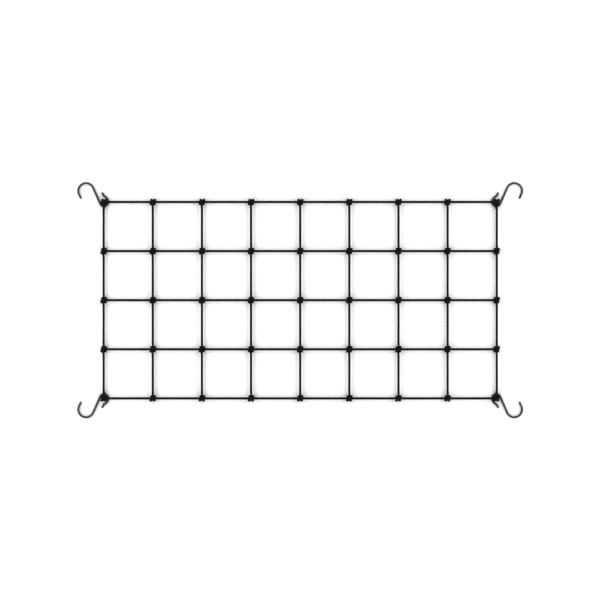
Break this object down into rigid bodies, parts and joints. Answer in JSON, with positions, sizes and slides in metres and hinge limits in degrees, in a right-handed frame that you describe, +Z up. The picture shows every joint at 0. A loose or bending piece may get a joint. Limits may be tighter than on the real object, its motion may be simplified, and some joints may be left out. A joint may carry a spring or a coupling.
{
  "type": "elastic cargo net",
  "caption": "Flat square grid of black sheathed shock cord, clove-hitched at every crossing, with an open wire hook swivelling in each corner.",
  "frame": {"origin": "middle of the net, on the surface it lies on", "axes": "+X along the long side, +Y along the short side, +Z up out of the net's plane"},
  "size_m": [0.6906, 0.3658, 0.0143],
  "materials": {
    "sheath": "matt woven polyester sheath, dyed black",
    "core": "matt natural rubber",
    "hook": "satin dark grey coating on bent steel wire"
  },
  "bodies": {
    "net_left": {"long_sheath_1_left": "sheath", "long_sheath_2_left": "sheath", "long_sheath_3_left": "sheath", "long_sheath_4_left": "sheath", "long_sheath_5_left": "sheath", "long_core_1_left": "core", "long_core_2_left": "core", "long_core_3_left": "core", "long_core_4_left": "core", "long_core_5_left": "core", "short_sheath_1": "sheath", "short_sheath_2": "sheath", "short_sheath_3": "sheath", "short_sheath_4": "sheath", "short_sheath_5": "sheath", "short_core_1": "core", "short_core_2": "core", "short_core_3": "core", "short_core_4": "core", "short_core_5": "core"},
    "net_right": {"long_sheath_1_right": "sheath", "long_sheath_2_right": "sheath", "long_sheath_3_right": "sheath", "long_sheath_4_right": "sheath", "long_sheath_5_right": "sheath", "long_core_1_right": "core", "long_core_2_right": "core", "long_core_3_right": "core", "long_core_4_right": "core", "long_core_5_right": "core", "short_sheath_6": "sheath", "short_sheath_7": "sheath", "short_sheath_8": "sheath", "short_sheath_9": "sheath", "short_core_6": "core", "short_core_7": "core", "short_core_8": "core", "short_core_9": "core"},
    "front_left_swivel": {"front_left_hook": "hook"},
    "front_right_swivel": {"front_right_hook": "hook"},
    "back_left_swivel": {"back_left_hook": "hook"},
    "back_right_swivel": {"back_right_hook": "hook"}
  },
  "joints": [
    {"name": "net_fold", "type": "hinge", "parent": "net_left", "child": "net_right", "pos_m": [0.038, 0, 0.0147], "axis": [0, -1, 0], "range_deg": [0, 175]},
    {"name": "front_left_hook_swivel", "type": "hinge", "parent": "net_left", "child": "front_left_swivel", "pos_m": [-0.304, -0.152, 0.0035], "axis": [0, 0, 1], "range_deg": [-45, 45]},
    {"name": "front_right_hook_swivel", "type": "hinge", "parent": "net_right", "child": "front_right_swivel", "pos_m": [0.304, -0.152, 0.0035], "axis": [0, 0, 1], "range_deg": [-45, 45]},
    {"name": "back_left_hook_swivel", "type": "hinge", "parent": "net_left", "child": "back_left_swivel", "pos_m": [-0.304, 0.152, 0.0035], "axis": [0, 0, 1], "range_deg": [-45, 45]},
    {"name": "back_right_hook_swivel", "type": "hinge", "parent": "net_right", "child": "back_right_swivel", "pos_m": [0.304, 0.152, 0.0035], "axis": [0, 0, 1], "range_deg": [-45, 45]}
  ]
}
